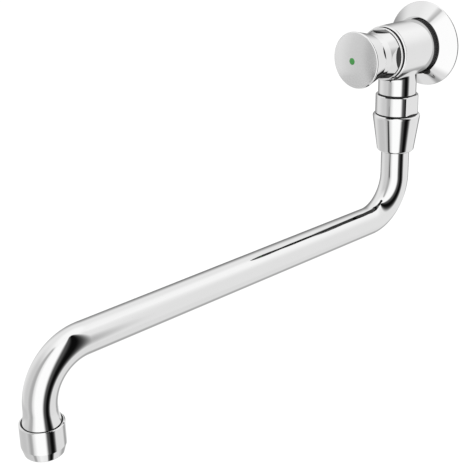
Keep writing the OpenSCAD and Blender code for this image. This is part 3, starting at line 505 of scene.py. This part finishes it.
button = sew("button_cap", [about_tap(rounded([
    (15.5, 61.6, 0.15), (16.3, 61.6, 0.25), (19.4, 73.5, 1.0), (18.7, 74.2, 0.2), (10.74, 77.19, 51.5),
    (2.25, 77.55, 0.1), (2.25, 75.5, 0), (1.55, 75.5, 0), (1.55, 71.1, 0), (3.05, 71.1, 0), (3.05, 65.6, 0),
    (6, 65.6, 0.3), (6, 70.7, 0), (15.5, 70.7, 0)], 20))])
button.data.materials.append(button_finish())
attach(button, "button")
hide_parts("push_button")
plug_green = moulded("plug_green", (0.045, 0.30, 0.055), 0.38)
plug = sew("plug", [about_tap(rounded([
    (0, 75.5, 0), (2.2, 75.5, 0.1), (2.2, 77.62, 0.12), (1.1, 77.75, 4), (0, 77.75, 0)]))])
plug.data.materials.append(plug_green)
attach(plug, "button")
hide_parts("button_plug")
refinish({drawn_steel: ["button_screw"]})

# Swivel connector: turned brass, chromed, screwed into the neck over a flat gasket. Its ring shows between neck and
# nut and has two spanner flats; the spout turns in its socket and the nut screws on its thread.
RING, RING_FLAT = 15.0, 13.52


def connector_ring():
    """Ring with two flats: as on the bonnet, each height has a radius, and the flats' half angle is the arc cosine
    of flat over radius. The ring's top runs in to the spigot and its underside to the thread."""
    rows = rounded([(RING, -44.7, 0.2), (RING, -31.8, 0.2), (14.5, -31.3, 0.2), (8, -31.3, 0), (8, -44.7, 0)])
    rows = rows[0][:3 * CORNER], rows[1][:3 * CORNER]
    half = np.arccos(RING_FLAT / rows[0][:, 0])
    flats, arcs = zip(*[flat_columns(a, 2) for a in half])
    flats, arcs = np.stack(flats, 1), np.stack(arcs, 1)
    made = []
    for k in range(2):
        made.append(about_drop(rows, NECK_REACH, arcs[k]))
        middle = k * np.pi
        r = RING_FLAT / np.cos(flats[k] - middle)
        chord = np.stack([r * np.cos(flats[k]), r * np.sin(flats[k]) - NECK_REACH, rows[0][:, 1:] + 0 * r], -1)
        made.append((0.001 * chord, np.zeros(chord.shape) + (np.cos(middle), 0, 0)))
        for row, inner, face in ((-1, 10.4775, 1), (0, 13.22, -1)):
            for turn, edge in ((arcs[k][row], rows[0][row, 0] + 0 * arcs[k][row]), (flats[k][row], r[row])):
                radii = np.stack([edge, inner + 0 * edge])
                face_points = np.stack([radii * np.cos(turn), radii * np.sin(turn) - NECK_REACH,
                                        rows[0][row, 1] + 0 * radii], -1)
                made.append((0.001 * face_points, np.zeros(face_points.shape) + (0, 0, face)))
    return made, half[-1], half[0]


patches, top_half, foot_half = connector_ring()
points, normals = rounded([
    (10.4775, -31.3, 0), (10.4775, -21.8, 0.6), (7.5, -21.8, 0.3), (7.5, -45.2, 0), (11.5, -45.2, 0), (11.5, -56, 0.3),
    (13.22, -56, 0.5), (13.22, -44.7, 0)])
points, normals = points[CORNER - 1:7 * CORNER + 1], normals[CORNER - 1:7 * CORNER + 1]
spread = top_half + (foot_half - top_half) * np.linspace(0, 1, len(points))
turn = np.stack([np.concatenate([np.concatenate([f, c[1:]]) for f, c in zip(*flat_columns(a, 2))]) for a in spread])
connector = sew("connector", [*patches, about_drop((points, normals), NECK_REACH, turn)])
connector.data.materials.append(bonnet_chrome)
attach(connector, "tap_body")
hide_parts("swivel_connector")
refinish({seal_rubber: ["connector_gasket"]})

# Swivel nut: a tapered brass nut with rounded shoulders, chromed and tightened by hand.
# Its inner shoulder holds the spout's collar up in the connector, with a plastic slip washer between;
# a thin black ring over its upper rim stands in for the shadow line in the gap there, painted shade.
nut_chrome = plated("nut_chrome", CHROME, 0.012, 0.03, 0.000004)
nut = sew("nut", [about_drop(rounded([
    (10.3, -72.8, 0.2), (12.9, -72.8, 1.8), (16.95, -45.3, 1.8), (13.32, -45.3, 0.2), (13.32, -56.1, 0),
    (12.9, -56.1, 0), (12.9, -60.5, 0), (10.3, -60.5, 0)]), NECK_REACH)])
nut.data.materials.append(nut_chrome)
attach(nut, "tap_body")
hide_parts("swivel_nut")
# Painted shade: a thin black ring over the nut's rim stands in for the shadow line in the gap between ring and nut.
painted_shadow_ring = sew("nut_painted_shadow_ring", [about_drop(rounded([
    (13.3, -45.28, 0.1), (14.5, -45.28, 0.1), (14.5, -44.72, 0.1), (13.3, -44.72, 0.1)]), NECK_REACH)])
painted_shadow_ring.data.materials.append(seal_rubber)
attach(painted_shadow_ring, "tap_body")
refinish({white_acetal: ["slip_washer"]})

# Spout: drawn brass tube, 20 mm across, bent twice, polished and chromed. Its upper end is brazed into a grooved
# brass collar with two sealing rings, on which it swivels.
OUTLET_REACH, TUBE, TUBE_BORE, BEND_STEPS = 336.5, 10, 8.8, 48


def bent_tube(path, radii, columns=97):
    """Tube along a path in the plane x = 0: at each point of the path a circle lies across it, the cosine of the turn
    along the path's normal and the sine along x. Outer wall, bore and the two end rims are patches of their own."""
    (reach, z), (nr, nz) = path[0].T[..., None], path[1].T[..., None]
    turn = np.linspace(0, 2 * np.pi, columns)
    c, s = np.cos(turn), np.sin(turn)
    out = np.stack([s + 0 * nr, -nr * c, nz * c], -1)
    line = np.stack([0 * c + 0 * reach, 0 * c - reach, z + 0 * c], -1)
    outer, bore = 0.001 * (line + radii[0] * out), 0.001 * (line + radii[1] * out)
    made = [(outer, out), (bore, -out)]
    for k, sign in ((0, 1), (-1, -1)):
        along = np.array([0, -nz[k, 0], -nr[k, 0]]) * sign
        rim = np.stack([outer[k], bore[k]])
        made.append((rim, np.zeros(rim.shape) + along))
    return made


bends = [(NECK_REACH, -45.5, 0), (NECK_REACH, -120.5, 30), (OUTLET_REACH, -120.5, 31), (OUTLET_REACH, -163, 0)]
points, normals = rounded(bends, BEND_STEPS)
points, normals = points[BEND_STEPS:-BEND_STEPS - 1], normals[BEND_STEPS:-BEND_STEPS - 1]
points, normals = np.concatenate([points, [bends[-1][:2]]]), np.concatenate([normals, normals[-1:]])
drawn_chrome = plated("drawn_chrome", CHROME, 0.012, 0.03, 0.000002)
tube = sew("tube", bent_tube((points, normals), (TUBE, TUBE_BORE)))
tube.data.materials.append(drawn_chrome)
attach(tube, "spout")
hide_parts("spout_tube")
refinish({turned_brass: ["spout_collar"], seal_rubber: ["spout_o_rings"]})

# Outlet: a flared brass end, brazed on the tube and chromed with it, with the aerator screwed on its thread.
# The aerator is a chromed ring that holds a rubber washer, a steel strainer and a white jet former.
fitting = sew("outlet_end", [about_drop(rounded([
    (8.8, -170, 0), (11.9, -170, 0.3), (11.9, -162, 0), (11.1, -162, 0), (11.1, -161.2, 0),
    (11.4, -161, 0.1), (10, -156.75, 25), (10, -152.5, 0),
    (9.9, -152.5, 0), (9.9, -163.05, 0), (8.8, -163.05, 0)]), OUTLET_REACH)])
fitting.data.materials.append(drawn_chrome)
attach(fitting, "spout")
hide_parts("outlet_fitting")
aerator = sew("aerator_ring", [about_drop(rounded([
    (10.4, -181, 0.2), (10.8, -181, 0.3), (11.6, -180.2, 0.5), (13.097, -175, 1.5), (13.097, -161.6, 0.35),
    (12.5, -161, 0.35), (12, -161, 0.1), (12, -173.7, 0), (10.4, -173.7, 0)]), OUTLET_REACH)])
aerator.data.materials.append(nut_chrome)
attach(aerator, "spout")
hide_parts("aerator_housing")
# Painted shade: a thin black ring between the fitting's shoulder and the aerator stands in for the shadow line in that
# joint.
outlet_shadow_ring = sew("outlet_painted_shadow_ring", [about_drop(rounded([
    (11.12, -161.95, 0.1), (11.98, -161.95, 0.1), (11.98, -161.3, 0.2), (11.12, -161.3, 0.1)]), OUTLET_REACH)])
outlet_shadow_ring.data.materials.append(seal_rubber)
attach(outlet_shadow_ring, "spout")
refinish({seal_rubber: ["aerator_washer"], drawn_steel: ["aerator_screen"], white_acetal: ["aerator_insert"]})

# Studio: a round tent of pale cloth that only reflections see, with a white box, a black flag and darker gaps in it,
# as round any chromed piece. Each card has a tone, its span of turn and blurs, and its span of height and blurs.
# Soft lamps, a white floor below and a white world for the background.
FLOOR, TENT, TENT_MIDDLE = -2.6, 2.4, (0, -0.17, -0.08)
CLOTH, FLOOR_STRIP, RETURNED = 218, 160, 0.72
TENT_CARDS = {
    "cloth overhead": (247, (-180, 180), (1, 1), (74, 90), (26, 1)),
    "pale cloth, right": (223, (124, 172), (10, 16), (-26, 14), (14, 26)),
    "lamp cloth above the wall": (244, (148, 170), (24, 38), (46, 54), (40, 20)),
    "shaded cloth, front left": (200, (-34, -15), (42, 10), (-60, 24), (15, 30)),
    "low cloth, left": (192, (-100, -40), (30, 20), (-46, -29), (12, 7)),
    "white box, front right": (252, (26, 60), (20, 10), (-56, 64), (16, 14)),
    "gap between the two": (170, (-7, 0), (18, 10), (-34, 58), (10, 8)),
    "grey flag, right": (76, (78, 107), (13, 14), (-74, 78), (10, 8)),
    "black flag on it": (12, (93, 99), (13, 12), (-74, 78), (10, 8)),
    "dark gap, rear left": (118, (-143, -128), (26, 46), (-18, 0), (5, 38)),
    "dark gap by the wall": (128, (-170, -140), (12, 10), (-21, -7), (4, 6)),
}


def soft(value, low, high, blur):
    """One from low to high; outside it falls to nothing, over the first blur before low and the second after high."""
    rise = np.clip((value - low) / blur[0] + 1, 0, 1)
    fall = np.clip((high - value) / blur[1] + 1, 0, 1)
    return (rise * fall) ** 2 * (3 - 2 * rise) * (3 - 2 * fall)


def tent_light(way):
    """Light of the tent in each direction from its middle. The cloth's tone rises a little with the angle up; each
    card then draws the tone to its own, by how far the turn from the side that faces away from the wall and the
    angle up lie within the card's two spans. Last comes a strip of darker floor under the spout, whose place goes by
    x over depth and which widens towards the wall. A tone from 0 to 255 is made light by the inverse of the screen's
    curve, over the share that the chrome returns."""
    turn = np.degrees(np.arctan2(way[:, 0], -way[:, 1]))
    up = np.degrees(np.arcsin(np.clip(way[:, 2], -1, 1)))
    tone = CLOTH + 10 * soft(up, 35, 90, (55, 1))
    for level, turns, turn_blur, ups, up_blur in TENT_CARDS.values():
        middle = np.mean(turns)
        off = middle + (turn - middle + 180) % 360 - 180
        tone += (level - tone) * soft(off, *turns, turn_blur) * soft(up, *ups, up_blur)
    wall = soft(way[:, 1], 0.5, 1, (0.6, 1))
    place = way[:, 0] / np.maximum(-way[:, 2], 0.05) + 0.13 + 0.15 * wall
    half, blur = 0.02 + 0.10 * wall, 0.15 + 0.27 * wall
    tone += (FLOOR_STRIP - tone) * soft(place, -half, half, (blur, blur)) * soft(up, -90, -36, (1, 14))
    return ((tone / 255 + 0.055) / 1.055) ** 2.4 / RETURNED


def tent_glow():
    """Cloth that gives off the light that its mesh holds at each point."""
    mat = bpy.data.materials.new("studio_tent")
    mat.use_nodes = True
    tree = mat.node_tree
    tree.nodes.clear()
    held, glow, out = (tree.nodes.new("ShaderNode" + kind) for kind in ("Attribute", "Emission", "OutputMaterial"))
    held.attribute_name = "light"
    tree.links.new(held.outputs["Fac"], glow.inputs["Strength"])
    tree.links.new(glow.outputs["Emission"], out.inputs["Surface"])
    return mat


turn, up = np.meshgrid(np.linspace(0, 2 * np.pi, 361), np.linspace(-np.pi / 2, np.pi / 2, 181))
inward = -np.stack([np.cos(turn) * np.cos(up), np.sin(turn) * np.cos(up), np.sin(up)], -1)
cards = sew("studio_tent", [(TENT_MIDDLE - TENT * inward, inward)])
places = np.empty((len(cards.data.vertices), 3), np.float32)
cards.data.vertices.foreach_get("co", places.ravel())
light = cards.data.attributes.new("light", "FLOAT", "POINT")
light.data.foreach_set("value", tent_light((places - TENT_MIDDLE) / TENT))
cards.data.materials.append(tent_glow())
cards.visible_camera = cards.visible_diffuse = cards.visible_transmission = cards.visible_shadow = False
x, y = np.meshgrid(np.linspace(-15, 15, 2), np.linspace(-15, 15, 2))
floor = sew("studio_floor", [(np.stack([x, y, 0 * x + FLOOR], -1), np.zeros((2, 2, 3)) + (0, 0, 1))])


def floor_paint():
    """White floor: a matt white that takes the shadow, lifted to white for the camera and for reflections."""
    mat = bpy.data.materials.new("studio_floor")
    mat.use_nodes = True
    tree = mat.node_tree
    tree.nodes.clear()
    new, link = tree.nodes.new, tree.links.new
    seen, either, any_of = new("ShaderNodeLightPath"), new("ShaderNodeMath"), new("ShaderNodeMath")
    either.operation = any_of.operation = "MAXIMUM"
    lift, matt, glow = new("ShaderNodeMath"), new("ShaderNodeBsdfDiffuse"), new("ShaderNodeEmission")
    lift.operation = "MULTIPLY"
    lift.inputs[1].default_value = 0.5
    matt.inputs["Color"].default_value = (0.8, 0.8, 0.8, 1)
    both, out = new("ShaderNodeAddShader"), new("ShaderNodeOutputMaterial")
    link(seen.outputs["Is Camera Ray"], either.inputs[0])
    link(seen.outputs["Is Glossy Ray"], either.inputs[1])
    link(either.outputs["Value"], any_of.inputs[0])
    link(seen.outputs["Is Transmission Ray"], any_of.inputs[1])
    link(any_of.outputs["Value"], lift.inputs[0])
    link(lift.outputs["Value"], glow.inputs["Strength"])
    link(matt.outputs["BSDF"], both.inputs[0])
    link(glow.outputs["Emission"], both.inputs[1])
    link(both.outputs["Shader"], out.inputs["Surface"])
    return mat


floor.data.materials.append(floor_paint())
world = bpy.data.worlds.new("studio_world")
bpy.context.scene.world = world
world.use_nodes = True
tree = world.node_tree
seen, either, any_of = (tree.nodes.new(kind) for kind in ("ShaderNodeLightPath", "ShaderNodeMath", "ShaderNodeMath"))
either.operation = any_of.operation = "MAXIMUM"
level = tree.nodes.new("ShaderNodeMapRange")
level.inputs["To Min"].default_value, level.inputs["To Max"].default_value = 0.7, 1.0
tree.links.new(seen.outputs["Is Camera Ray"], either.inputs[0])
tree.links.new(seen.outputs["Is Glossy Ray"], either.inputs[1])
tree.links.new(either.outputs["Value"], any_of.inputs[0])
tree.links.new(seen.outputs["Is Transmission Ray"], any_of.inputs[1])
tree.links.new(any_of.outputs["Value"], level.inputs["Value"])
tree.links.new(level.outputs["Result"], tree.nodes["Background"].inputs["Strength"])
tree.nodes["Background"].inputs["Color"].default_value = (1, 1, 1, 1)
LAMPS = {"key_lamp": ((0.9, -1.3, 1.3), 1.2, 14), "fill_lamp": ((-1.3, -0.6, 0.9), 1.4, 7)}
for name, (place, size, power) in LAMPS.items():
    lamp = bpy.data.lights.new(name, "AREA")
    lamp.size, lamp.energy = size, power
    holder = bpy.data.objects.new(name, lamp)
    away = np.array(place) - TENT_MIDDLE
    away = away / np.linalg.norm(away)
    right = np.cross((0, 0, 1), away)
    right = right / np.linalg.norm(right)
    axes = np.stack([right, np.cross(away, right), away, place], 1)
    holder.matrix_world = Matrix(np.vstack([axes, (0, 0, 0, 1)]).tolist())
    holder.visible_glossy = False
    bpy.context.scene.collection.objects.link(holder)

# Camera: to the front right of the tap and above it, with a long lens that keeps the uprights nearly parallel.
# Its focal length and its shift are in picture points, of which the picture is 470 wide; the angles are in degrees.
SENSOR, PICTURE, SHIFT = 36, 470, -40
CAMERA, AZIMUTH, PITCH, ROLL, FOCUS = (0.43921, -0.58501, 0.15392), 47.735, 20.332, -1.36, 1016.71
a, p, r = np.radians([AZIMUTH, PITCH, ROLL])
look = np.array([-np.sin(a) * np.cos(p), np.cos(a) * np.cos(p), -np.sin(p)])
level_right = np.array([np.cos(a), np.sin(a), 0])
level_up = np.cross(level_right, look)
right = level_right * np.cos(r) + level_up * np.sin(r)
up = level_up * np.cos(r) - level_right * np.sin(r)
lens = bpy.data.cameras.new("camera")
lens.sensor_width, lens.lens, lens.shift_y = SENSOR, SENSOR * FOCUS / PICTURE, SHIFT / PICTURE
camera = bpy.data.objects.new("camera", lens)
camera.matrix_world = Matrix(np.vstack([np.stack([right, up, -look, CAMERA], 1), (0, 0, 0, 1)]).tolist())
bpy.context.scene.collection.objects.link(camera)
bpy.context.scene.camera = camera
bpy.context.scene.view_settings.view_transform = "Standard"
